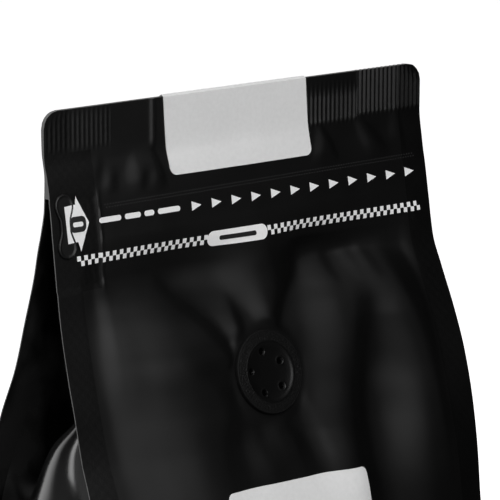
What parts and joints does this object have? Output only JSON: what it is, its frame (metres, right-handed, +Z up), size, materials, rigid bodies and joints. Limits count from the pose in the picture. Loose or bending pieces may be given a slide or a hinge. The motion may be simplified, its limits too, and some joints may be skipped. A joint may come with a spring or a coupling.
{
  "type": "coffee bag",
  "caption": "Shut flat-bottomed pouch of matt film with side gussets, a ribbed top seal, a pull tab, a degassing valve and two plain labels",
  "frame": {"origin": "on the floor under the middle of the pouch", "axes": "+Z up the pouch, the front panel with the valve faces -Y, +X to the right of the front panel"},
  "size_m": [0.127, 0.0852, 0.2106],
  "materials": {
    "film": "matt laminated film, glossier in the gussets",
    "moulded": "satin moulded plastic",
    "paper": "uncoated label paper"
  },
  "bodies": {
    "root": {"pouch": "film", "valve": "moulded", "top_label": "paper", "front_label": "paper", "pull_tab": "film"}
  },
  "joints": []
}
